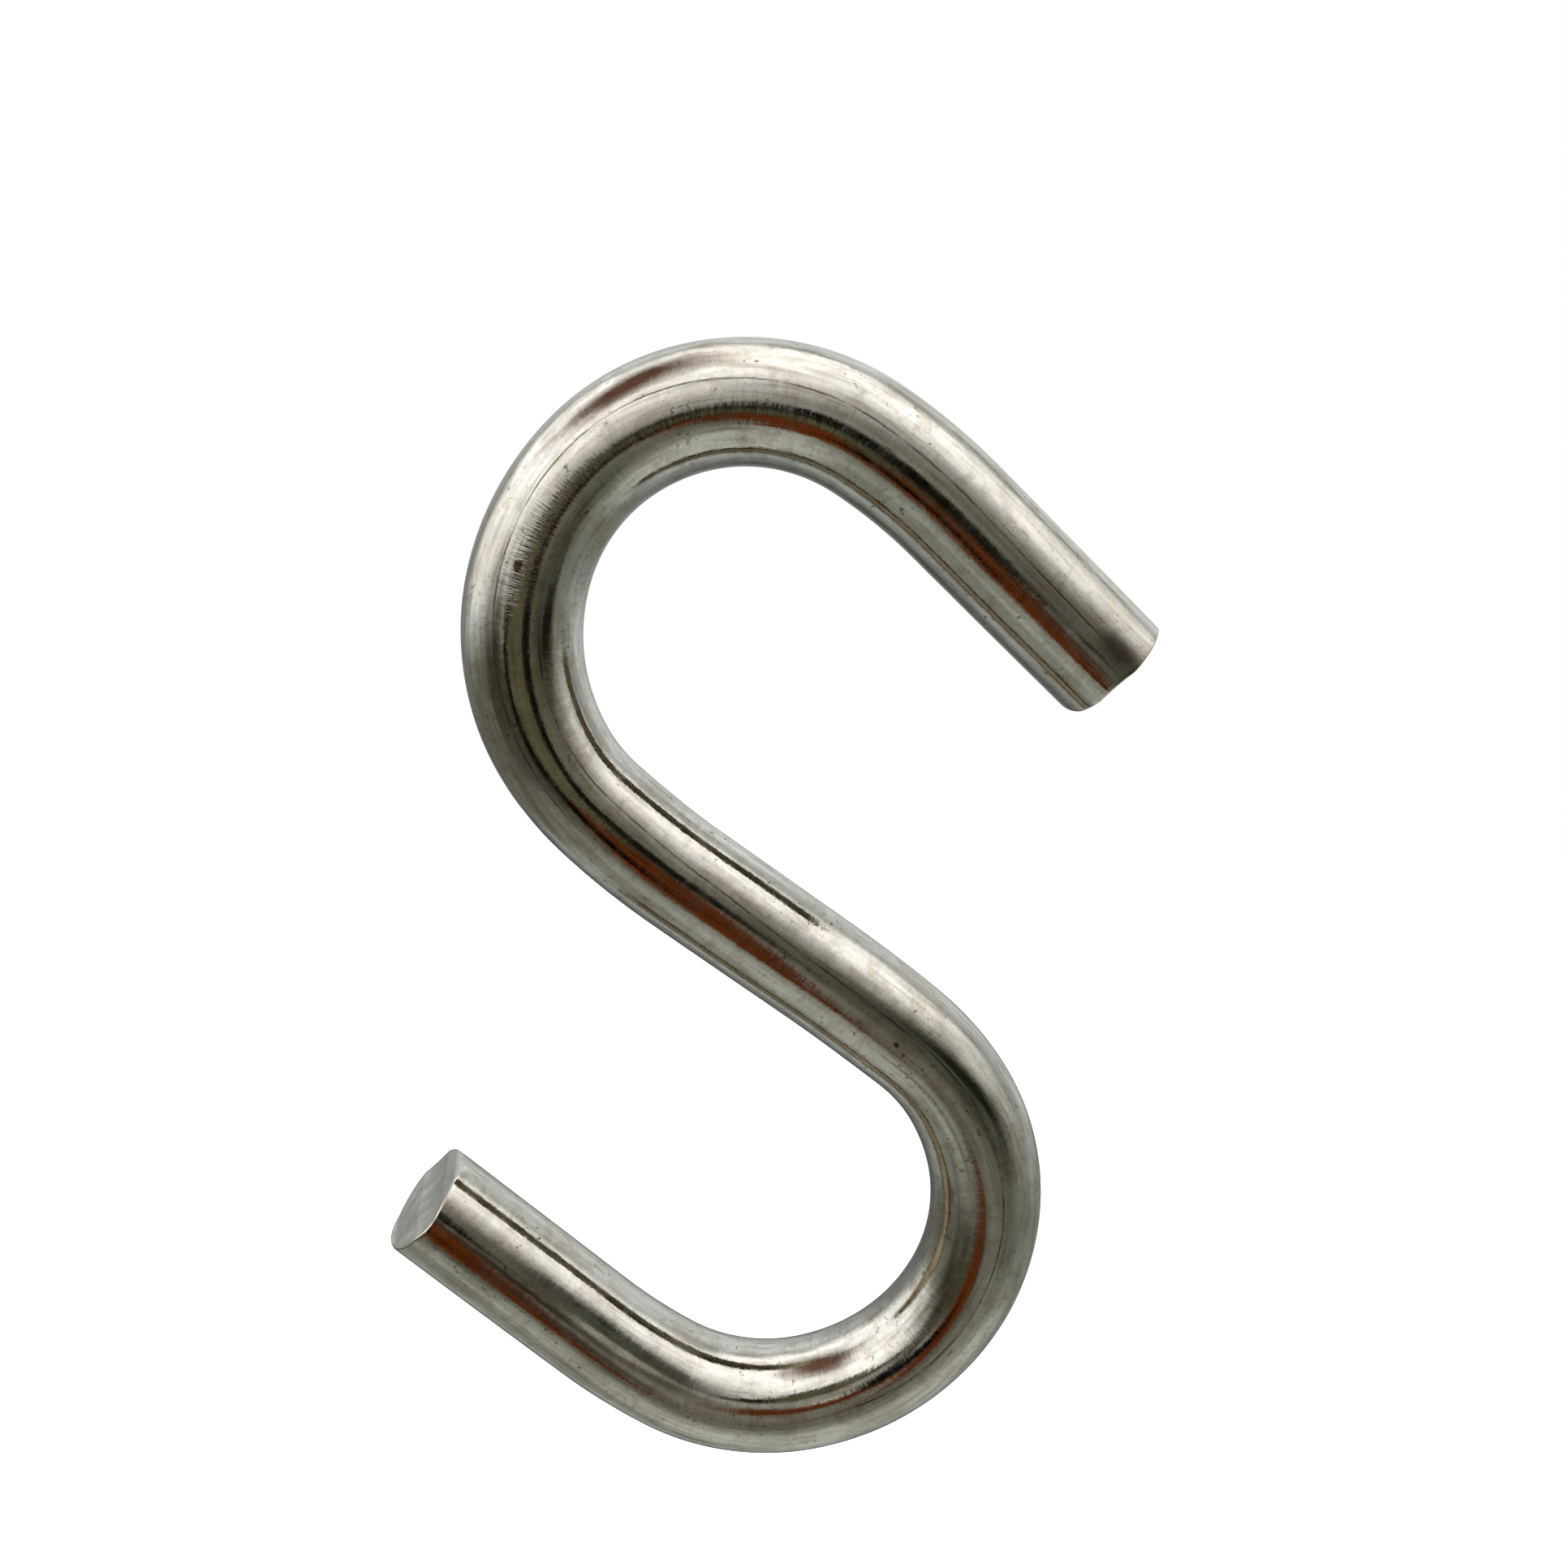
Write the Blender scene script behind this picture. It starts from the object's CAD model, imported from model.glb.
# An S hook bent from nickel-plated round bar, and the small studio that it hangs in.
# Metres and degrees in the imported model's frame: X across, Y towards the back, Z up, and the origin
# on the seat.
from math import cos, exp, pi, radians, sin, sqrt, tan

import bpy
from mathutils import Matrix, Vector, noise


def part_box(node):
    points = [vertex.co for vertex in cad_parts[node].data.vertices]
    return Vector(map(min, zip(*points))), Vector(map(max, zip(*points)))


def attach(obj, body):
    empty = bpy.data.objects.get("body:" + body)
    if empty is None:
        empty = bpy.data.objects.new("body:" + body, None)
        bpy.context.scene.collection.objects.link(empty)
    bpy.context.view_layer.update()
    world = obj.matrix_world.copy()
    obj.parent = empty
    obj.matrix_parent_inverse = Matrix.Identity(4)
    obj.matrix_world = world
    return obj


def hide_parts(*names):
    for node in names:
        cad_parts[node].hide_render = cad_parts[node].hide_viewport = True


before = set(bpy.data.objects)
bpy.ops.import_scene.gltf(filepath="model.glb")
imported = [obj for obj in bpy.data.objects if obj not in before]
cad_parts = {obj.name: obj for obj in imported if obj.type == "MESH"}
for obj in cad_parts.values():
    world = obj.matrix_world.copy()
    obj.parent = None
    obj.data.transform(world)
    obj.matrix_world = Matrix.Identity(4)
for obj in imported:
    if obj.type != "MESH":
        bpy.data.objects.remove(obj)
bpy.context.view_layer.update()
cadLow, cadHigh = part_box("hook")
print("frame loaded")


# Small helpers for shader nodes
def feed(tree, socket, value):
    if isinstance(value, bpy.types.NodeSocket):
        tree.links.new(value, socket)
    else:
        socket.default_value = value


def addNode(tree, kind, inputs=None, **settings):
    node = tree.nodes.new(kind)
    for name, value in settings.items():
        setattr(node, name, value)
    for socket, value in (inputs or {}).items():
        feed(tree, node.inputs[socket], value)
    return node


def calculate(tree, operation, *values, clamp=False):
    node = addNode(tree, "ShaderNodeMath", operation=operation, use_clamp=clamp)
    for socket, value in zip(node.inputs, values):
        feed(tree, socket, value)
    return node.outputs[0]


def calculateVector(tree, operation, *values):
    node = addNode(tree, "ShaderNodeVectorMath", operation=operation)
    for socket, value in zip(node.inputs, values):
        feed(tree, socket, value)
    return node.outputs[0]


def scaleVector(tree, vector, share):
    inputs = {"Vector": vector, "Scale": share}
    return addNode(tree, "ShaderNodeVectorMath", inputs, operation="SCALE").outputs[0]


def mixColours(tree, share, first, second):
    node = addNode(tree, "ShaderNodeMix", data_type="RGBA")
    feed(tree, node.inputs[0], share)
    feed(tree, node.inputs[6], first)
    feed(tree, node.inputs[7], second)
    return node.outputs[2]


def remap(tree, value, fromLow, fromHigh, toLow=0.0, toHigh=1.0, shape="LINEAR"):
    node = addNode(tree, "ShaderNodeMapRange", interpolation_type=shape)
    for socket, number in zip(node.inputs, (value, fromLow, fromHigh, toLow, toHigh)):
        feed(tree, socket, number)
    return node.outputs[0]


# Noise keeps mostly to its middle values, which are spread to the wanted range
def spreadNoise(tree, value, low, high):
    return remap(tree, value, 0.35, 0.65, low, high)


# Noise colours as a shift to either side of nothing
def centreNoise(tree, colour):
    return calculateVector(tree, "SUBTRACT", colour, (0.5, 0.5, 0.5))


def startGroup(name, inputs, outputs):
    group = bpy.data.node_groups.new(name, "ShaderNodeTree")
    for label, default in inputs.items():
        kind = "NodeSocketFloat" if isinstance(default, (int, float)) else "NodeSocketVector"
        socket = group.interface.new_socket(label, in_out="INPUT", socket_type=kind)
        socket.default_value = default
    for label, kind in outputs.items():
        group.interface.new_socket(label, in_out="OUTPUT", socket_type="NodeSocket" + kind)
    return group, group.nodes.new("NodeGroupInput").outputs, group.nodes.new("NodeGroupOutput").inputs


def placeGroup(tree, group, inputs):
    node = tree.nodes.new("ShaderNodeGroup")
    node.node_tree = group
    for label, value in inputs.items():
        feed(tree, node.inputs[label], value)
    return node.outputs


def startMaterial(name):
    material = bpy.data.materials.new(name)
    material.use_nodes = True
    material.node_tree.nodes.clear()
    return material, material.node_tree


def finishMaterial(tree, surface):
    addNode(tree, "ShaderNodeOutputMaterial", {0: surface})


def addObject(name, data):
    thing = bpy.data.objects.new(name, data)
    bpy.context.scene.collection.objects.link(thing)
    return thing


# The bar's path, from the upper tip's face to the lower tip's face
bar = {
    "radius": 0.004,
    "middleLength": 0.0109,
    "middleSlope": 36.4,
    "ringStep": 0.0003,
    "sides": 128,
    # Length beside each tip that stays free of unevenness, and share of a pressing that bulges sideways
    "calmEnd": 0.002,
    "bulge": 0.3,
}

# Each hook's bends, from the middle out: [inside radius, turn]. The inner side is 1 where the
# direction across the bar points to the hook's inside, and -1 where it points away
upperHook = {
    "bends": [[0.052, 8], [0.0118, 88.5], [0.0105, 80], [0.035, 11]],
    "tipLength": 0.0148,
    "cutLean": -2,
    "innerSide": -1,
}
lowerHook = {
    "bends": [[0.120, 4], [0.0124, 127], [0.0103, 44], [0.035, 10]],
    "tipLength": 0.0158,
    "cutLean": 10,
    "innerSide": 1,
}

# Where the bending tool pressed the bar a little flat: [metres from the upper tip, spread, share lost]
pressedPlaces = [
    [0.0450, 0.0040, 0.026],
    [0.0645, 0.0026, 0.024],
    [0.0975, 0.0028, 0.026],
    [0.1350, 0.0060, 0.008],
]
# Where it stayed a little fuller: [metres from the upper tip, spread, share gained]
fullerPlaces = [
    [0.0100, 0.0080, 0.006],
    [0.1560, 0.0070, 0.005],
]

# Gentle unevenness left by drawing and bending: [depth, wavelength along, wavelength round]
unevenness = [
    [0.000010, 0.0110, 0.0060],
    [0.000004, 0.0035, 0.0026],
]


def hookRuns(hook):
    runs = [[bar["middleLength"] / 2, 0.0]]
    for insideRadius, turn in hook["bends"]:
        middleRadius = insideRadius + bar["radius"]
        runs.append([middleRadius * radians(turn), 1 / middleRadius])
    runs.append([hook["tipLength"], 0.0])
    return runs


def hookLength(hook):
    return sum(length for length, curve in hookRuns(hook))


# A point of the middle line and the heading there, a distance out from the middle's centre
def stopOnHook(hook, startHeading, distance):
    x = z = 0.0
    heading = startHeading
    left = distance
    for length, curve in hookRuns(hook):
        step = min(left, length)
        ahead = heading - step * curve
        if curve:
            x += (sin(heading) - sin(ahead)) / curve
            z += (cos(ahead) - cos(heading)) / curve
        else:
            x += step * cos(heading)
            z += step * sin(heading)
        heading = ahead
        left -= step
    return x, z, heading


upHeading = radians(180 - bar["middleSlope"])
upperLength = hookLength(upperHook)
lowerLength = hookLength(lowerHook)
barLength = upperLength + lowerLength


# The seat is where the upper hook's middle line runs level
def findSeat():
    turned = upHeading
    distance = 0.0
    for length, curve in hookRuns(upperHook):
        if curve and turned - length * curve < 0:
            distance += turned / curve
            break
        turned -= length * curve
        distance += length
    return stopOnHook(upperHook, upHeading, distance)


seatX, seatZ, seatHeading = findSeat()
seatZ -= bar["radius"]


# The middle line at a distance from the upper tip: its point, and the two directions across the bar
def stopOnBar(along):
    if along < upperLength:
        x, z, heading = stopOnHook(upperHook, upHeading, upperLength - along)
        across = Vector((-sin(heading), 0, cos(heading)))
    else:
        x, z, heading = stopOnHook(lowerHook, upHeading - pi, along - upperLength)
        across = Vector((sin(heading), 0, -cos(heading)))
    return Vector((x - seatX, 0, z - seatZ)), across


def nearPlace(along, places):
    return sum(share * exp(-(((along - place) / spread) ** 2) / 2) for place, spread, share in places)


# The section's two half widths: across the bar in its plane, and from front to back
def sectionAt(along):
    pressed = nearPlace(along, pressedPlaces) - nearPlace(along, fullerPlaces)
    return bar["radius"] * (1 - pressed), bar["radius"] * (1 + bar["bulge"] * pressed)


# How far the surface stands off its section
def unevenAt(along, angle):
    height = 0.0
    for depth, alongWave, roundWave in unevenness:
        reach = bar["radius"] / roundWave
        point = Vector((along / alongWave, cos(angle) * reach, sin(angle) * reach))
        height += depth * noise.noise(point)
    return height


# A sheared face: an edge rolled over on the inner side, a torn hollow and a burr on the outer side
shearedFace = {
    "rollRadius": 0.0008,
    "rollReach": 0.0001,
    "hollowDepth": 0.00015,
    "hollowRadius": 0.007,
    "hollowOffset": 0.0008,
    "burrWidth": 0.0005,
    "burrHeight": 0.00015,
    "edgeBreak": 0.00012,
    "edgeSteps": 5,
    "faceRings": 30,
    "tearDepth": 0.000035,
    "tearWave": 0.0011,
    "tearStretch": 0.45,
    "fineTearScale": 3.1,
    "fineTearShare": 0.4,
}


# Height of a face across the bar, from its outer side to its inner side
def faceProfile(inner):
    face = shearedFace
    height = 0.0
    rollMiddle = bar["radius"] + face["rollReach"] - face["rollRadius"]
    if inner > rollMiddle:
        height -= face["rollRadius"] - sqrt(face["rollRadius"] ** 2 - (inner - rollMiddle) ** 2)
    fromHollow = inner - face["hollowOffset"]
    bowl = face["hollowRadius"] - face["hollowDepth"] - sqrt(face["hollowRadius"] ** 2 - fromHollow ** 2)
    height += min(bowl, 0)
    burrStart = face["burrWidth"] - bar["radius"]
    if inner < burrStart:
        height += face["burrHeight"] * (burrStart - inner) / face["burrWidth"]
    return height


# Height of a leaning face above the end of its straight tip
def faceHeight(hook, inner, depth):
    lean = radians(hook["cutLean"])
    return faceProfile(inner) / cos(lean) + depth * tan(lean)


def tornGrain(hook, inner, depth):
    face = shearedFace
    stretched = inner / face["tearWave"] * face["tearStretch"]
    point = Vector((stretched, depth / face["tearWave"], hook["cutLean"]))
    fine = point * face["fineTearScale"]
    return face["tearDepth"] * (noise.noise(point) + face["fineTearShare"] * noise.noise(fine))


# The rings of a face: radius from the middle line, drop below the face, and share of the torn grain
def tipRingRows(hook):
    face = shearedFace
    flatRadius = bar["radius"] - face["edgeBreak"]
    rows = []
    for ring in range(1, face["faceRings"] + 1):
        share = ring / face["faceRings"]
        rows.append([flatRadius * share, 0.0, 1 - share ** 8])
    for step in range(1, face["edgeSteps"] + 1):
        bend = pi / 2 * step / face["edgeSteps"]
        rows.append([flatRadius + face["edgeBreak"] * sin(bend), face["edgeBreak"] * (1 - cos(bend)), 0.0])
    return rows


# The mesh as it grows: points, their places on the straight bar, and rows of points from tip to tip
class HookMesh:
    def __init__(self):
        self.points = []
        self.places = []
        self.rows = []
        self.faceRows = []

    def addRow(self, places, onFace):
        first = len(self.points)
        for point, place in places:
            self.points.append(point)
            self.places.append(place)
        self.rows.append(list(range(first, first + len(places))))
        self.faceRows.append(onFace)


def angles():
    return [2 * pi * side / bar["sides"] for side in range(bar["sides"])]


# Rings of a sheared tip, from the middle of its face back to its rim
def tipRows(hook, end):
    along = 0.0 if end == "upper" else barLength
    outward = -1 if end == "upper" else 1
    stop, across = stopOnBar(along)
    heading = Vector((-across.z, 0, across.x)) * outward
    inwardAcross = across * hook["innerSide"]
    rows = []
    middle = stop + heading * (faceHeight(hook, 0, 0) + tornGrain(hook, 0, 0))
    rows.append([[[middle, Vector((along, 0, 0))]], True])
    for radius, drop, grain in tipRingRows(hook):
        row = []
        for angle in angles():
            inner = radius * sin(angle) * hook["innerSide"]
            depth = -radius * cos(angle)
            height = faceHeight(hook, inner, depth) - drop + grain * tornGrain(hook, inner, depth)
            point = stop + inwardAcross * inner + Vector((0, depth, 0)) + heading * height
            place = Vector((along + outward * height, radius * cos(angle), radius * sin(angle)))
            row.append([point, place])
        rows.append([row, drop == 0.0])
    return rows


# A plain ring; near a tip the rings gather up to follow its leaning face
def barRow(along):
    row = []
    for angle in angles():
        place = along
        for hook, tipStart, outward in ((upperHook, upperHook["tipLength"], -1),
                                        (lowerHook, barLength - lowerHook["tipLength"], 1)):
            past = (along - tipStart) * outward
            if past > 0:
                inner = bar["radius"] * sin(angle) * hook["innerSide"]
                depth = -bar["radius"] * cos(angle)
                rim = faceHeight(hook, inner, depth) - shearedFace["edgeBreak"]
                place = along + outward * rim * (past / hook["tipLength"]) ** 2
        stop, across = stopOnBar(min(max(place, 0), barLength))
        beyond = place - min(max(place, 0), barLength)
        stop = stop + Vector((-across.z, 0, across.x)) * beyond
        halfAcross, halfDeep = sectionAt(place)
        calm = min(1, min(along, barLength - along) / bar["calmEnd"])
        lift = 1 + unevenAt(place, angle) * calm / bar["radius"]
        sideways = across * (halfAcross * sin(angle) * lift)
        point = stop + sideways - Vector((0, halfDeep * cos(angle) * lift, 0))
        row.append([point, Vector((place, bar["radius"] * cos(angle), bar["radius"] * sin(angle)))])
    return row


def buildHook():
    mesh = HookMesh()
    for row, onFace in tipRows(upperHook, "upper"):
        mesh.addRow(row, onFace)
    ringCount = round(barLength / bar["ringStep"])
    for ring in range(1, ringCount):
        mesh.addRow(barRow(barLength * ring / ringCount), False)
    for row, onFace in reversed(tipRows(lowerHook, "lower")):
        mesh.addRow(row, onFace)
    quads = []
    slots = []
    for row in range(len(mesh.rows) - 1):
        ahead, behind = mesh.rows[row + 1], mesh.rows[row]
        onFace = mesh.faceRows[row] and mesh.faceRows[row + 1]
        for side in range(bar["sides"]):
            around = (side + 1) % bar["sides"]
            if len(behind) == 1:
                quads.append([behind[0], ahead[side], ahead[around]])
            elif len(ahead) == 1:
                quads.append([behind[around], behind[side], ahead[0]])
            else:
                quads.append([behind[around], behind[side], ahead[side], ahead[around]])
            slots.append(1 if onFace else 0)
    data = bpy.data.meshes.new("bentHook")
    data.from_pydata(mesh.points, [], quads)
    data.polygons.foreach_set("material_index", slots)
    data.polygons.foreach_set("use_smooth", [True] * len(quads))
    # Place on the bar as if it were straight, in millimetres, for the grain of the finish
    barPlace = data.attributes.new("barPlace", "FLOAT_VECTOR", "POINT")
    barPlace.data.foreach_set("vector", [number * 1000 for place in mesh.places for number in place])
    data.update()
    return addObject("bentHook", data)


hook = buildHook()
print("hook built:", len(hook.data.polygons), "faces")


# Finish of the bar: bright nickel over drawn steel. Heights are in millimetres
nickel = {
    "colour": (0.84, 0.825, 0.79, 1),
    "brownTint": (0.54, 0.475, 0.395, 1),
    "greenTint": (0.57, 0.605, 0.55, 1),
    "streakTint": (0.66, 0.64, 0.60, 1),
    "hairTint": (0.26, 0.215, 0.165, 1),
    "dirt": (0.07, 0.052, 0.036, 1),
    "roughness": 0.065,
    "hazeRoughness": 0.15,
    "scuffRoughness": 0.45,
    "rippleHeight": 0.0045,
    "grainHeight": 0.0050,
    "drawnHeight": 0.0010,
    "rubbedHeight": 0.012,
    # Shares of the dirt in specks, of the scratches, and of the roughness that dirt brings
    "speckShare": 0.70,
    "scratchShare": 0.30,
    "dirtRoughness": 0.5,
    # How far the edges of marks wander along the bar and round it
    "markSway": (0.5, 0.35, 0),
    "greenShift": (40, 0, 0),
}

# Tints that are laid over the plate, in this order: colour, share
tints = {
    "brown": ["brownTint", 0.50],
    "green": ["greenTint", 0.50],
    "blotch": ["brownTint", 0.55],
    "streak": ["streakTint", 0.25],
    "mottle": ["brownTint", 0.25],
    "hair": ["hairTint", 0.45],
}

# Clouds behind the tints, the haze and the relief: scale, stretch, noise that counts as none and as
# full, detail
clouds = {
    "brown": [0.40, (0.6, 1, 1), 0.47, 0.62, 5],
    "green": [0.34, (0.6, 1, 1), 0.47, 0.62, 5],
    "blotch": [0.9, (1, 0.7, 0.7), 0.52, 0.62, 5],
    "streak": [3.2, (1, 0.14, 0.14), 0.42, 0.72, 4],
    "mottle": [3.4, (0.8, 1, 1), 0.48, 0.64, 5],
    "hair": [2.8, (0.06, 1, 1), 0.53, 0.68, 4],
    "specks": [2.4, (1, 1, 1), 0.60, 0.67, 5],
    "speckCrowds": [0.30, (1, 1, 1), 0.48, 0.60, 3],
    "lineBreaks": [0.8, (0.5, 1, 1), 0.30, 0.55, 5],
    "haze": [0.60, (1, 0.6, 0.6), 0.45, 0.66, 4],
    "ripple": [2.0, (1.1, 0.24, 0.24), 0.2, 0.8, 3],
    "grain": [1.9, (1, 1, 1), 0.2, 0.8, 4],
    "drawn": [5.0, (0.05, 1, 1), 0.2, 0.8, 3],
    "ridges": [7.0, (1, 0.10, 0.10), 0.3, 0.7, 2],
    "faceMottle": [1.1, (1, 1, 1), 0.3, 0.7, 6],
    "faceTear": [1.4, (1, 1, 0.35), 0.25, 0.75, 5],
}

# Scratches from handling and from rubbing across the bar: scale, stretch, width, share that shows
scratchKinds = {
    "handling": [0.45, (0.3, 1, 1), 0.006, 0.42],
    "cross": [0.9, (1.2, 0.35, 0.35), 0.010, 0.38],
}

# Places on the bar: millimetres from the upper tip, degrees round from the front, half length,
# half width in millimetres, softness, strength
pits = {
    "pitOnBack": [49.0, 5, 0.32, 0.28, 0.25, 0.95],
    "pitOnMiddle": [92.5, -1, 0.24, 0.18, 0.4, 0.9],
    "smallPitOnMiddle": [93.4, 3, 0.16, 0.14, 0.5, 0.8],
    "speckOnBack": [43.8, -30, 0.2, 0.12, 0.5, 0.7],
    "speckOnLowerBack": [101.5, -58, 0.14, 0.12, 0.5, 0.6],
    "tipStain": [1.6, 13, 1.7, 0.65, 0.6, 0.8],
    "tipStreak": [2.9, -3, 1.8, 0.10, 0.5, 0.6],
    "streakOnUpperTip": [11, -10, 9, 0.07, 0.9, 0.55],
    "lowStreakOnUpperTip": [9, -15, 7, 0.06, 0.9, 0.5],
    "streakOnMiddle": [75, 2, 7, 0.08, 0.9, 0.6],
    "lowStreakOnMiddle": [77, -2.5, 6, 0.06, 0.9, 0.5],
    "streakOnLowerTip": [156, 18, 8, 0.20, 0.9, 0.8],
    "lowStreakOnLowerTip": [151, 9, 9, 0.24, 0.9, 0.65],
    "streakOnLowerBack": [109, 9, 6, 0.07, 0.9, 0.5],
}
scuffs = {
    "scuffOnMiddle": [89.8, -35, 0.05, 0.32, 0.4, 0.9],
    "secondScuffOnMiddle": [94.2, -31, 0.05, 0.26, 0.4, 0.7],
    "scuffOnBack": [51.4, -1, 0.06, 0.50, 0.4, 0.6],
    "brightSpeckOnBack": [49.4, -3, 0.10, 0.09, 0.5, 0.9],
    "scuffOnTip": [8.6, 27, 0.5, 0.04, 0.5, 0.6],
    "secondScuffOnTip": [6.9, 31, 0.4, 0.035, 0.5, 0.5],
}
stains = {
    "brownBandOnBack": [57, -33, 13, 0.42, 0.8, 0.55],
    "brownPatchOnBack": [47, -33, 3.2, 0.40, 0.8, 0.7],
    "brownPatchOnMiddle": [91, 2, 5.0, 0.8, 0.9, 0.6],
    "brownPatchOnLowerSeat": [146, -8, 5.0, 0.9, 0.9, 0.4],
    "brownPatchOnUpperTip": [6, 45, 6.0, 0.7, 0.9, 0.4],
}
# Where the bending tool rubbed fine ridges across the bar
rubbed = [46.5, 1, 5.5, 0.9, 0.5, 1.0]

# Thin dark lines that the drawing die left: stops of [millimetres from the upper tip, degrees round]
dieLines = {
    "upperLine": [[0, 9.5], [11, 12], [24, 16], [40, 22], [48, 20.5], [55, 17], [64, 14], [68, 15]],
    "lowerLine": [[50, -24.5], [57, -25], [65, -28], [75, -24.5], [85, -18.5], [95, -16], [105, -11.5],
                  [115, -4.5], [125, 4], [130, 8]],
    "tipLine": [[0.5, 55], [6, 57.5], [13, 57], [20, 60.5]],
}
dieLine = {"halfWidth": 0.060, "softness": 0.6, "strength": 0.85, "fade": 4.0, "wander": 0.10}

# Finish of the sheared faces
sheared = {
    "colour": (0.80, 0.82, 0.79, 1),
    "darker": (0.62, 0.64, 0.60, 1),
    "roughness": (0.32, 0.46),
    "tearHeight": 0.012,
}


# Soft cloudy patches, from 0 to 1
def makeCloudiness():
    group, given, result = startGroup(
        "cloudiness",
        {"Place": (0, 0, 0), "Scale": 1.0, "Stretch": (1, 1, 1), "Low": 0.4, "High": 0.6, "Detail": 4.0},
        {"Mask": "Float"},
    )
    stretched = calculateVector(group, "MULTIPLY", given["Place"], given["Stretch"])
    cloud = addNode(group, "ShaderNodeTexNoise", {
        "Vector": stretched, "Scale": given["Scale"], "Detail": given["Detail"], "Roughness": 0.62})
    feed(group, result["Mask"], remap(group, cloud.outputs["Fac"], given["Low"], given["High"]))
    return group


# Thin scratches that lie across a stretched cell pattern
def makeScratches():
    group, given, result = startGroup(
        "scratches",
        {"Place": (0, 0, 0), "Scale": 1.0, "Stretch": (1, 1, 1), "Width": 0.02, "Share": 0.4},
        {"Mask": "Float"},
    )
    wander = addNode(group, "ShaderNodeTexNoise", {"Vector": given["Place"], "Scale": 0.35, "Detail": 2.0})
    bent = calculateVector(group, "ADD", given["Place"], wander.outputs["Color"])
    stretched = calculateVector(group, "MULTIPLY", bent, given["Stretch"])
    cells = addNode(group, "ShaderNodeTexVoronoi", {"Vector": stretched, "Scale": given["Scale"]},
                    feature="DISTANCE_TO_EDGE")
    line = remap(group, cells.outputs["Distance"], 0.0, given["Width"], 1.0, 0.0)
    gaps = addNode(group, "ShaderNodeTexNoise", {"Vector": given["Place"], "Scale": 1.3, "Detail": 3.0})
    shown = calculate(group, "LESS_THAN", gaps.outputs["Fac"], given["Share"])
    feed(group, result["Mask"], calculate(group, "MULTIPLY", line, shown))
    return group


# The bar's skin unrolled flat, in millimetres: X along it, Y round it from the front
def makeUnrolled():
    group, given, result = startGroup("unrolled", {"Place": (0, 0, 0)}, {"Flat": "Vector"})
    parts = addNode(group, "ShaderNodeSeparateXYZ", {"Vector": given["Place"]}).outputs
    turn = calculate(group, "ARCTAN2", parts[2], parts[1])
    around = calculate(group, "MULTIPLY", turn, bar["radius"] * 1000)
    flat = addNode(group, "ShaderNodeCombineXYZ", {"X": parts[0], "Y": around}).outputs[0]
    feed(group, result["Flat"], flat)
    return group


# A patch with soft edges, from 0 outside to 1 in its middle
def makeSoftPatch():
    group, given, result = startGroup(
        "softPatch",
        {"View": (0, 0, 0), "Centre": (0, 0, 0), "Half Size": (1, 1, 1), "Turn": 0.0, "Softness": 0.2},
        {"Mask": "Float"},
    )
    moved = calculateVector(group, "SUBTRACT", given["View"], given["Centre"])
    turned = addNode(group, "ShaderNodeVectorRotate", {"Vector": moved, "Angle": given["Turn"]},
                     rotation_type="Z_AXIS").outputs[0]
    scaled = calculateVector(group, "DIVIDE", turned, given["Half Size"])
    distance = addNode(group, "ShaderNodeVectorMath", {0: scaled}, operation="LENGTH").outputs["Value"]
    outside = calculate(group, "ADD", 1.0, given["Softness"])
    inside = calculate(group, "SUBTRACT", 1.0, given["Softness"])
    feed(group, result["Mask"], remap(group, distance, outside, inside, 0.0, 1.0, "SMOOTHSTEP"))
    return group


softPatch = makeSoftPatch()
unrolled = makeUnrolled()
cloudiness = makeCloudiness()
scratches = makeScratches()


def startMetal(name):
    material, tree = startMaterial(name)
    shader = addNode(tree, "ShaderNodeBsdfPrincipled", {"Metallic": 1.0})
    finishMaterial(tree, shader.outputs[0])
    place = addNode(tree, "ShaderNodeAttribute", attribute_name="barPlace").outputs["Vector"]
    return material, tree, shader.inputs, place


# Relief from a height in millimetres
def addRelief(tree, shader, height):
    bump = addNode(tree, "ShaderNodeBump", {"Height": height, "Strength": 1.0, "Distance": 0.001})
    feed(tree, shader["Normal"], bump.outputs[0])


def addCloud(tree, place, name):
    scale, stretch, low, high, detail = clouds[name]
    return placeGroup(tree, cloudiness, {
        "Place": place, "Scale": scale, "Stretch": stretch,
        "Low": low, "High": high, "Detail": detail})["Mask"]


def addScratches(tree, place, name):
    scale, stretch, width, share = scratchKinds[name]
    return placeGroup(tree, scratches, {
        "Place": place, "Scale": scale, "Stretch": stretch, "Width": width, "Share": share})["Mask"]


# All the marks of one kind, as one mask
def markAll(tree, flat, marks):
    total = 0.0
    for along, turn, halfLength, halfWidth, softness, strength in marks:
        centre = (along, radians(turn) * bar["radius"] * 1000, 0)
        mask = placeGroup(tree, softPatch, {
            "View": flat, "Centre": centre, "Half Size": (halfLength, halfWidth, 1),
            "Softness": softness})["Mask"]
        total = calculate(tree, "MAXIMUM", total, calculate(tree, "MULTIPLY", mask, strength))
    return total


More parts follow.
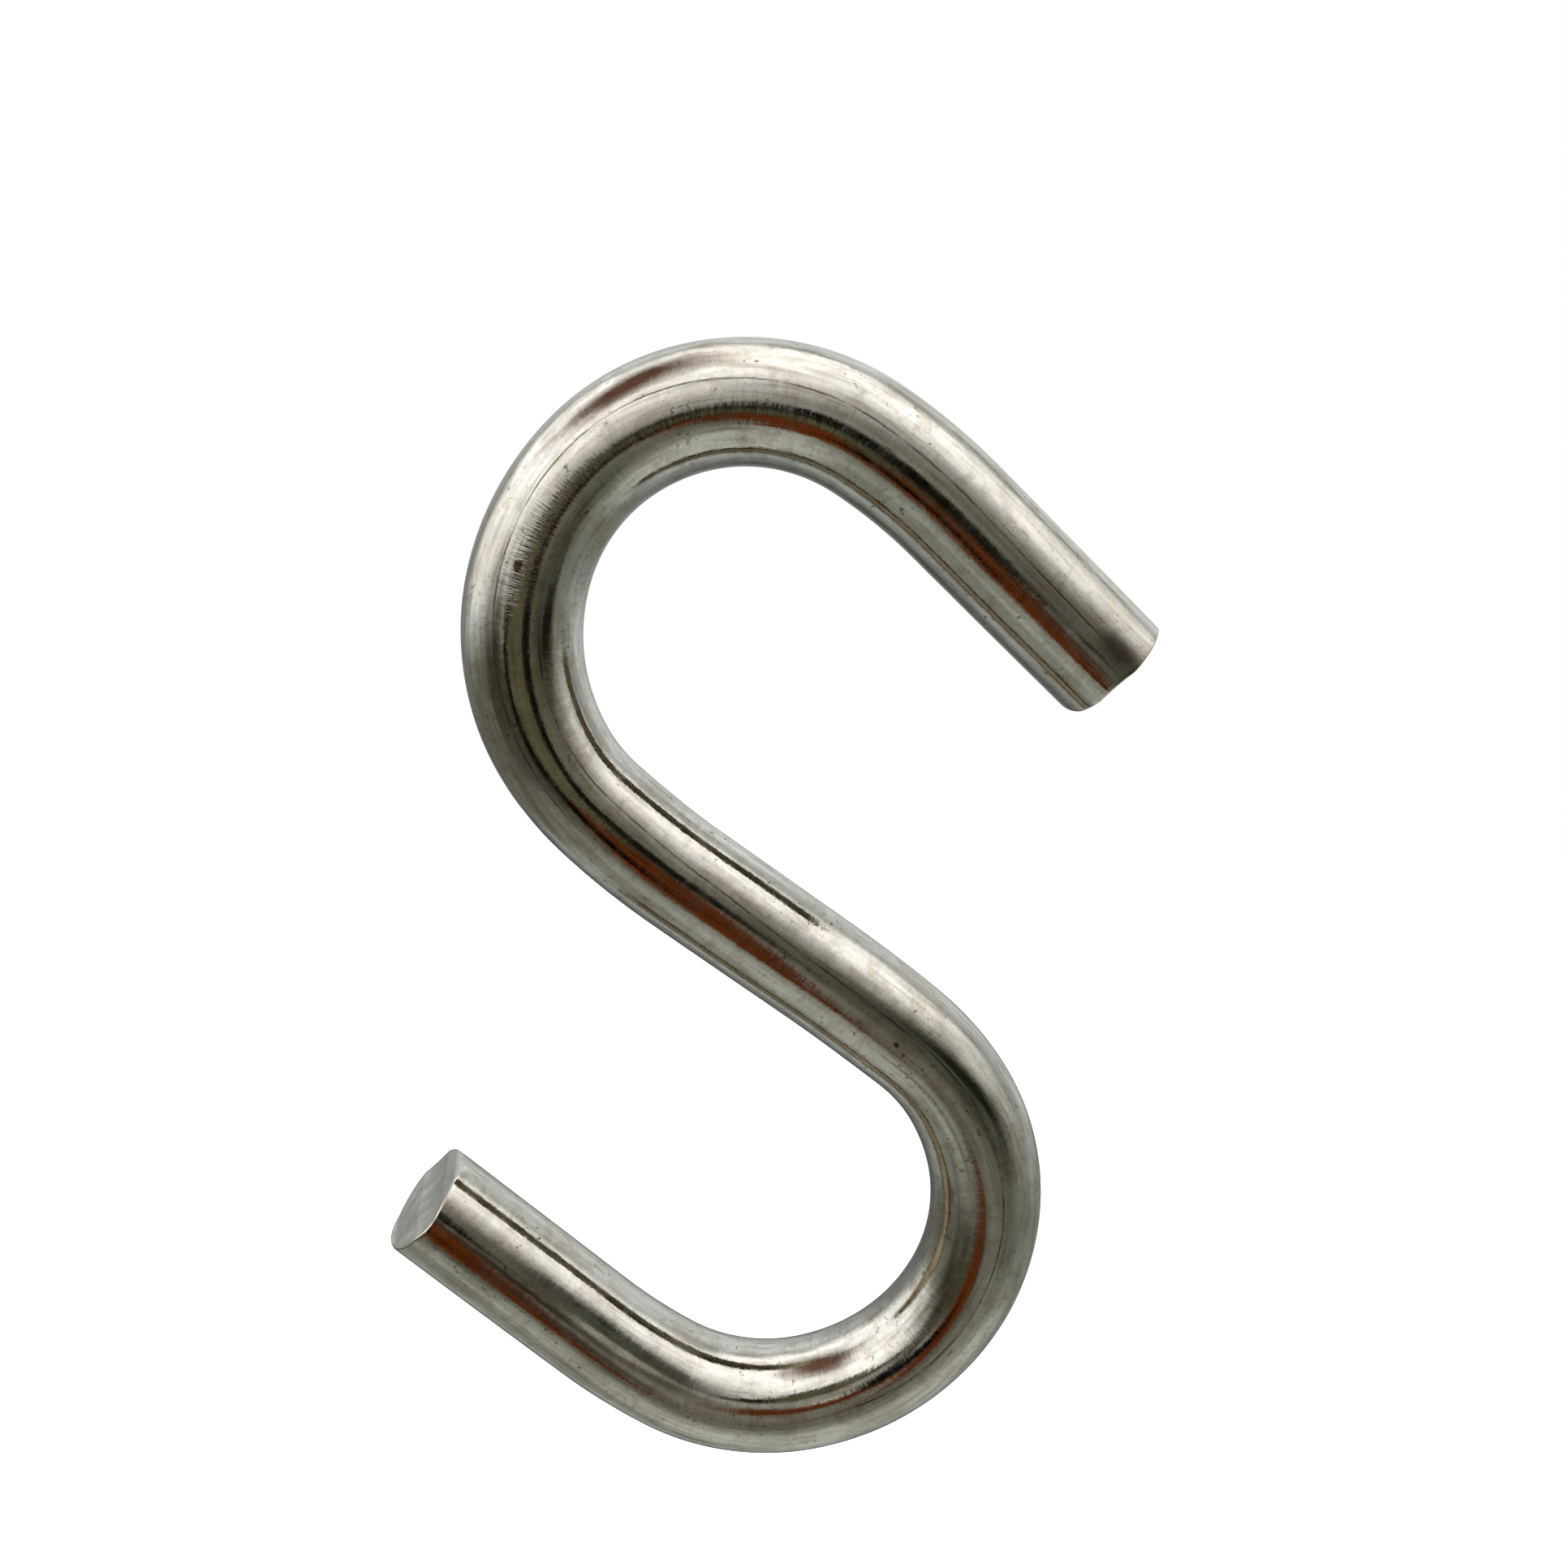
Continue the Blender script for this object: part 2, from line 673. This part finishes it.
# One thin line that winds slowly round the bar through its stops
def drawDieLine(tree, flat, stops):
    parts = addNode(tree, "ShaderNodeSeparateXYZ", {"Vector": flat}).outputs
    curve = addNode(tree, "ShaderNodeFloatCurve", {
        "Value": calculate(tree, "DIVIDE", parts[0], barLength * 1000)})
    points = curve.mapping.curves[0].points
    heights = [[along / (barLength * 1000), 0.5 + turn / 180] for along, turn in stops]
    points[0].location = heights[0]
    points[1].location = heights[-1]
    for place in heights[1:-1]:
        points.new(*place)
    curve.mapping.update()
    halfRound = pi / 2 * bar["radius"] * 1000
    path = remap(tree, curve.outputs[0], 0.0, 1.0, -halfRound, halfRound)
    away = calculate(tree, "ABSOLUTE", calculate(tree, "SUBTRACT", parts[1], path))
    core = dieLine["halfWidth"] * (1 - dieLine["softness"])
    rim = dieLine["halfWidth"] * (1 + dieLine["softness"])
    line = remap(tree, away, core, rim, 1.0, 0.0)
    first, last = stops[0][0], stops[-1][0]
    line = calculate(tree, "MULTIPLY", line, remap(tree, parts[0], first, first + dieLine["fade"]))
    return calculate(tree, "MULTIPLY", line, remap(tree, parts[0], last - dieLine["fade"], last, 1.0, 0.0))


def makeNickelPlate():
    material, tree, shader, place = startMetal("nickelPlate")

    # Edges of marks wander a little
    flat = placeGroup(tree, unrolled, {"Place": place})["Flat"]
    sway = addNode(tree, "ShaderNodeTexNoise", {"Vector": place, "Scale": 1.6, "Detail": 4.0})
    sway = centreNoise(tree, sway.outputs["Color"])
    swayed = calculateVector(tree, "MULTIPLY_ADD", sway, nickel["markSway"], flat)
    lightSway = calculateVector(tree, "MULTIPLY_ADD", sway, (0, dieLine["wander"], 0), flat)

    # Tints: clouds of brown and green, then smaller blotches, streaks and hairs
    shifted = calculateVector(tree, "ADD", place, nickel["greenShift"])
    masks = {name: addCloud(tree, shifted if name == "green" else place, name) for name in tints}
    colour = nickel["colour"]
    for name, (tint, share) in tints.items():
        colour = mixColours(tree, calculate(tree, "MULTIPLY", masks[name], share), colour, nickel[tint])
    stained = calculate(tree, "MULTIPLY", markAll(tree, swayed, stains.values()),
                        remap(tree, masks["blotch"], 0.0, 0.5, 0.6, 1.0))
    colour = mixColours(tree, stained, colour, nickel["brownTint"])

    # Dirt: specks, pits and the lines from the drawing die
    crowds = addCloud(tree, place, "speckCrowds")
    specks = calculate(tree, "MULTIPLY", addCloud(tree, place, "specks"), crowds)
    dirt = calculate(tree, "MULTIPLY", specks, nickel["speckShare"])
    dirt = calculate(tree, "MAXIMUM", dirt, markAll(tree, swayed, pits.values()))
    breaks = addCloud(tree, place, "lineBreaks")
    for stops in dieLines.values():
        line = calculate(tree, "MULTIPLY", drawDieLine(tree, lightSway, stops), breaks)
        dirt = calculate(tree, "MAXIMUM", dirt, calculate(tree, "MULTIPLY", line, dieLine["strength"]))
    feed(tree, shader["Base Color"], mixColours(tree, dirt, colour, nickel["dirt"]))

    # Haze, scratches and scuffs
    haze = addCloud(tree, place, "haze")
    polish = remap(tree, haze, 0.0, 1.0, nickel["roughness"], nickel["hazeRoughness"])
    kinds = [addScratches(tree, place, name) for name in scratchKinds]
    scratched = calculate(tree, "MULTIPLY", calculate(tree, "MAXIMUM", *kinds), nickel["scratchShare"])
    scuffed = calculate(tree, "MAXIMUM", markAll(tree, swayed, scuffs.values()), scratched)
    dull = calculate(tree, "MULTIPLY", dirt, nickel["dirtRoughness"])
    scuffed = calculate(tree, "MAXIMUM", scuffed, dull)
    feed(tree, shader["Roughness"], remap(tree, scuffed, 0.0, 1.0, polish, nickel["scuffRoughness"]))

    # Relief: ripples across the bar, an even grain, fine lines along it and the rubbed place
    height = calculate(tree, "MULTIPLY", addCloud(tree, place, "ripple"), nickel["rippleHeight"])
    height = calculate(tree, "MULTIPLY_ADD", addCloud(tree, place, "grain"), nickel["grainHeight"], height)
    height = calculate(tree, "MULTIPLY_ADD", addCloud(tree, place, "drawn"), nickel["drawnHeight"], height)
    ridges = calculate(tree, "MULTIPLY", addCloud(tree, place, "ridges"), markAll(tree, swayed, [rubbed]))
    addRelief(tree, shader, calculate(tree, "MULTIPLY_ADD", ridges, nickel["rubbedHeight"], height))
    return material


def makeShearedFace():
    material, tree, shader, place = startMetal("shearedFace")
    mottle = addCloud(tree, place, "faceMottle")
    torn = addCloud(tree, place, "faceTear")
    feed(tree, shader["Base Color"], mixColours(tree, mottle, sheared["darker"], sheared["colour"]))
    feed(tree, shader["Roughness"], remap(tree, torn, 0.0, 1.0, *sheared["roughness"]))
    addRelief(tree, shader, calculate(tree, "MULTIPLY", torn, sheared["tearHeight"]))
    return material


hook.data.materials.append(makeNickelPlate())
hook.data.materials.append(makeShearedFace())
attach(hook, "root")
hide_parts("hook")
print("finishes made")


# The studio's light, drawn on a globe round the hook. Places are degrees right and up from the side
# that faces the camera, so [0, 90] is straight above and [90, 0] is on the right
studio = {
    "base": (0.28, 0.292, 0.248),
    # name: place, half size, turn, softness, colour
    "patches": {
        "ceilingLight": [(-13, 65), (119, 71), 15, 0.48, (1.42, 1.40, 1.34)],
        "shadeOnLeft": [(-6, -65), (34, 91), -44, 0.25, (0.040, 0.037, 0.022)],
        "shadeOnRight": [(58, -69), (92, 31), 68, 0.85, (0.165, 0.182, 0.155)],
        "lightBelow": [(85, -117), (141, 43), 29, 0.29, (0.475, 0.485, 0.43)],
        "shadeInFront": [(33, -4), (51, 38), -1, 0.96, (0.115, 0.105, 0.072)],
        "windowOnLeft": [(-69, 59), (23, 56), 35, 0.89, (1.28, 1.27, 1.24)],
        "warmCard": [(-38, 74), (28, 20), 140, 0.65, (0.155, 0.08, 0.05)],
        "darkDoorOnLeft": [(-86, -27), (9, 15), 10, 0.6, (0.16, 0.17, 0.14)],
        "darkShelfOnLeft": [(-70, -50), (9, 26), 0, 0.6, (0.12, 0.11, 0.075)],
    },
    "corners": {
        "darkCornerOnLeft": [(-98, -54), (26, 36), 30, 0.8, (0.14, 0.135, 0.11)],
        "shadeUnderRight": [(90, -75), (48, 30), 60, 0.6, (0.22, 0.23, 0.20)],
        "paleCornerOnRight": [(128, 64), (34, 22), 20, 0.6, (0.66, 0.68, 0.66)],
    },
    # The grey backdrop lies outside an edge round the front. Far behind the hook it is darker low on
    # the left and paler high on the right
    "backdropEdge": {"centre": (-9, 9), "radius": 110, "softness": 0.06},
    "backdrop": (0.35, 0.365, 0.35),
    "farBackdrop": {
        "below": (0.10, 0.103, 0.095),
        "above": (0.78, 0.80, 0.78),
        "slant": 0.5,
        "reach": 0.85,
        "start": 0.35,
        "full": 0.75,
    },
    # How far the edges wander, in degrees, and the darkest and brightest share of the colours
    "sway": {"degrees": 20, "scale": 3, "detail": 3},
    "unevenness": {"low": 0.84, "high": 1.12, "scale": 7, "detail": 2},
    # Share of its light that a second reflection keeps
    "secondReflection": (0.36, 0.31, 0.23),
}


def drawPatches(tree, view, patches, colour):
    for place, halfSize, turn, softness, shade in patches.values():
        mask = placeGroup(tree, softPatch, {
            "View": view, "Centre": (*place, 0), "Half Size": (*halfSize, 1), "Turn": radians(turn),
            "Softness": softness})["Mask"]
        colour = mixColours(tree, mask, colour, (*shade, 1))
    return colour


def drawBackdrop(tree, ray):
    far = studio["farBackdrop"]
    slope = calculate(tree, "MULTIPLY_ADD", ray[0], far["slant"], ray[2])
    slope = remap(tree, slope, -far["reach"], far["reach"], shape="SMOOTHSTEP")
    shading = mixColours(tree, slope, (*far["below"], 1), (*far["above"], 1))
    behind = remap(tree, ray[1], far["start"], far["full"])
    return mixColours(tree, behind, (*studio["backdrop"], 1), shading)


# White is for the camera's own rays, and the polish mirrors the patches
def makeStudioLight():
    world = bpy.data.worlds.new("studioLight")
    bpy.context.scene.world = world
    world.use_nodes = True
    tree = world.node_tree
    tree.nodes.clear()
    facing = addNode(tree, "ShaderNodeTexCoord").outputs["Generated"]
    ray = addNode(tree, "ShaderNodeSeparateXYZ", {"Vector": facing}).outputs
    light = addNode(tree, "ShaderNodeLightPath").outputs

    # Degrees from the front, to the right and up
    fromFront = calculate(tree, "ARCCOSINE", calculate(tree, "MULTIPLY", ray[1], -1.0))
    flat = addNode(tree, "ShaderNodeCombineXYZ", {"X": ray[0], "Y": ray[2]}).outputs[0]
    outwards = calculateVector(tree, "NORMALIZE", flat)
    view = scaleVector(tree, outwards, calculate(tree, "DEGREES", fromFront))
    wander = studio["sway"]
    sway = addNode(tree, "ShaderNodeTexNoise", {
        "Vector": facing, "Scale": wander["scale"], "Detail": wander["detail"]}).outputs["Color"]
    view = calculateVector(tree, "MULTIPLY_ADD", centreNoise(tree, sway),
                           (wander["degrees"], wander["degrees"], 0), view)

    colour = drawPatches(tree, view, studio["patches"], (*studio["base"], 1))
    edge = studio["backdropEdge"]
    room = placeGroup(tree, softPatch, {
        "View": view, "Centre": (*edge["centre"], 0), "Half Size": (edge["radius"], edge["radius"], 1),
        "Softness": edge["softness"]})["Mask"]
    colour = mixColours(tree, room, drawBackdrop(tree, ray), colour)
    colour = drawPatches(tree, view, studio["corners"], colour)
    cloud = studio["unevenness"]
    uneven = addNode(tree, "ShaderNodeTexNoise", {
        "Vector": facing, "Scale": cloud["scale"], "Detail": cloud["detail"]}).outputs["Fac"]
    uneven = spreadNoise(tree, uneven, cloud["low"], cloud["high"])
    second = remap(tree, light["Glossy Depth"], 1.0, 2.0)
    kept = mixColours(tree, second, (1, 1, 1, 1), (*studio["secondReflection"], 1))
    colour = scaleVector(tree, calculateVector(tree, "MULTIPLY", colour, kept), uneven)
    seen = mixColours(tree, light["Is Camera Ray"], colour, (1, 1, 1, 1))
    background = addNode(tree, "ShaderNodeBackground", {"Color": seen, "Strength": 1.0})
    addNode(tree, "ShaderNodeOutputWorld", {0: background.outputs[0]})


makeStudioLight()

# Small cards that stand close in front of the hook and show in its polish: centre, half size, turn,
# softness, colour
nearCards = {
    "darkCard": [(0.101, -0.0858, -0.0515), (0.079, 0.044), 7, 0.35, (0.068, 0.068, 0.050)],
    "darkPatchCard": [(0.097, -0.080, -0.043), (0.038, 0.016), 25, 0.35, (0.014, 0.013, 0.009)],
    "oliveCard": [(-0.0245, -0.0962, -0.026), (0.025, 0.017), -14, 0.18, (0.105, 0.100, 0.056)],
    "oliveCardEdge": [(-0.025, -0.0975, -0.0225), (0.030, 0.021), -5, 0.18, (0.005, 0.005, 0.004)],
    "lensShadeCard": [(0.010, -0.105, -0.0235), (0.018, 0.0105), 20, 0.24, (0.005, 0.005, 0.003)],
    "blackCard": [(0.0194, -0.159, -0.0206), (0.0173, 0.0318), -44, 0.35, (0.005, 0.004, 0.003)],
    "farBlackCard": [(-0.0665, -0.155, -0.0455), (0.030, 0.037), 24, 0.3, (0.003, 0.003, 0.003)],
    "orangeCard": [(-0.030, -0.2177, -0.1090), (0.040, 0.088), 30, 0.2, (0.115, 0.027, 0.005)],
    "lowOrangeCard": [(-0.031, -0.2180, -0.181), (0.028, 0.018), -20, 0.2, (0.115, 0.027, 0.005)],
    "lowBlackCard": [(-0.060, -0.2165, -0.090), (0.018, 0.054), -8, 0.25, (0.002, 0.002, 0.002)],
    "greyCard": [(0.0024, -0.028, -0.0726), (0.0044, 0.0036), 8, 0.2, (0.19, 0.185, 0.145)],
    "paleCard": [(0.0006, -0.028, -0.0602), (0.0048, 0.0028), 0, 0.35, (0.33, 0.32, 0.28)],
}

# Their cloth: noise scale and sway of the edges against the card's size, darkest and brightest share
cardCloth = {"scale": 9, "detail": 2, "sway": 0.35, "brightness": (0.50, 1.40)}


def makeNearCard(name, centre, halfSize, turn, softness, colour):
    across, up = halfSize
    reach = 1 + softness
    corners = [(-reach * across, 0, -reach * up), (reach * across, 0, -reach * up),
               (reach * across, 0, reach * up), (-reach * across, 0, reach * up)]
    data = bpy.data.meshes.new(name)
    data.from_pydata(corners, [], [(0, 1, 2, 3)])
    card = addObject(name, data)
    card.location = centre
    card.rotation_euler = (0, radians(turn), 0)
    card.visible_camera = False
    card.visible_diffuse = False
    card.visible_shadow = False
    material, tree = startMaterial(name)
    place = addNode(tree, "ShaderNodeTexCoord").outputs["Object"]
    parts = addNode(tree, "ShaderNodeSeparateXYZ", {"Vector": place}).outputs
    flat = addNode(tree, "ShaderNodeCombineXYZ", {"X": parts[0], "Y": parts[2]}).outputs[0]
    cloth = addNode(tree, "ShaderNodeTexNoise", {
        "Vector": place, "Scale": cardCloth["scale"] / (across + up),
        "Detail": cardCloth["detail"]}).outputs
    reachOfSway = (cardCloth["sway"] * across, cardCloth["sway"] * up, 0)
    flat = calculateVector(tree, "MULTIPLY_ADD", centreNoise(tree, cloth["Color"]), reachOfSway, flat)
    mask = placeGroup(tree, softPatch, {
        "View": flat, "Half Size": (across, up, 1), "Softness": softness})["Mask"]
    brightness = spreadNoise(tree, cloth["Fac"], *cardCloth["brightness"])
    clear = addNode(tree, "ShaderNodeBsdfTransparent")
    glow = addNode(tree, "ShaderNodeEmission", {"Color": (*colour, 1), "Strength": brightness})
    mixed = addNode(tree, "ShaderNodeMixShader", {0: mask, 1: clear.outputs[0], 2: glow.outputs[0]})
    finishMaterial(tree, mixed.outputs[0])
    data.materials.append(material)


for name, facts in nearCards.items():
    makeNearCard(name, *facts)

# A pale round floor a little way under the hook. Its whiteness is a glow that only the camera sees
floor = {
    "drop": 0.060,
    "radius": 0.45,
    "sides": 96,
    "colour": (0.86, 0.86, 0.86, 1),
    "whiteness": 0.80,
}


def makeFloor():
    middle = (cadLow + cadHigh) / 2
    height = cadLow.z - floor["drop"]
    rim = [2 * pi * side / floor["sides"] for side in range(floor["sides"])]
    points = [(middle.x + floor["radius"] * cos(turn), floor["radius"] * sin(turn), height) for turn in rim]
    data = bpy.data.meshes.new("paleFloor")
    data.from_pydata(points, [], [list(range(floor["sides"]))])
    ground = addObject("paleFloor", data)
    material, tree = startMaterial("paleFloor")
    cameraRay = addNode(tree, "ShaderNodeLightPath").outputs["Is Camera Ray"]
    matt = addNode(tree, "ShaderNodeBsdfDiffuse", {"Color": floor["colour"]})
    glow = addNode(tree, "ShaderNodeEmission", {
        "Color": (1, 1, 1, 1), "Strength": calculate(tree, "MULTIPLY", cameraRay, floor["whiteness"])})
    both = addNode(tree, "ShaderNodeAddShader", {0: matt.outputs[0], 1: glow.outputs[0]})
    finishMaterial(tree, both.outputs[0])
    data.materials.append(material)
    ground.visible_glossy = False


makeFloor()

# A broad soft lamp overhead, which draws the faint shadow on the floor
softLamp = {"place": (-0.10, -0.10, 0.50), "size": 0.40, "power": 1.2}


def makeLamp():
    light = bpy.data.lights.new("softLamp", "AREA")
    light.shape = "SQUARE"
    light.size = softLamp["size"]
    light.energy = softLamp["power"]
    lamp = addObject("softLamp", light)
    lamp.location = softLamp["place"]
    lamp.rotation_euler = (-Vector(softLamp["place"])).to_track_quat("-Z", "Y").to_euler()
    lamp.visible_glossy = False


makeLamp()
print("studio lit")

# The photograph's view: close to the hook, level with its seat and looking a little down
camera = {
    "place": (0.001184, -0.09333, 0.00062),
    "pitch": 13.07,
    "yaw": -0.79,
    "lens": 32.37,
    "sensor": 36.0,
    "clipStart": 0.001,
}


def makeCamera():
    data = bpy.data.cameras.new("camera")
    data.sensor_width = camera["sensor"]
    data.lens = camera["lens"]
    data.clip_start = camera["clipStart"]
    view = addObject("camera", data)
    view.location = camera["place"]
    view.rotation_euler = (radians(90 - camera["pitch"]), 0, radians(camera["yaw"]))
    bpy.context.scene.camera = view


makeCamera()
bpy.context.scene.view_settings.view_transform = "Standard"

print("boxes written")
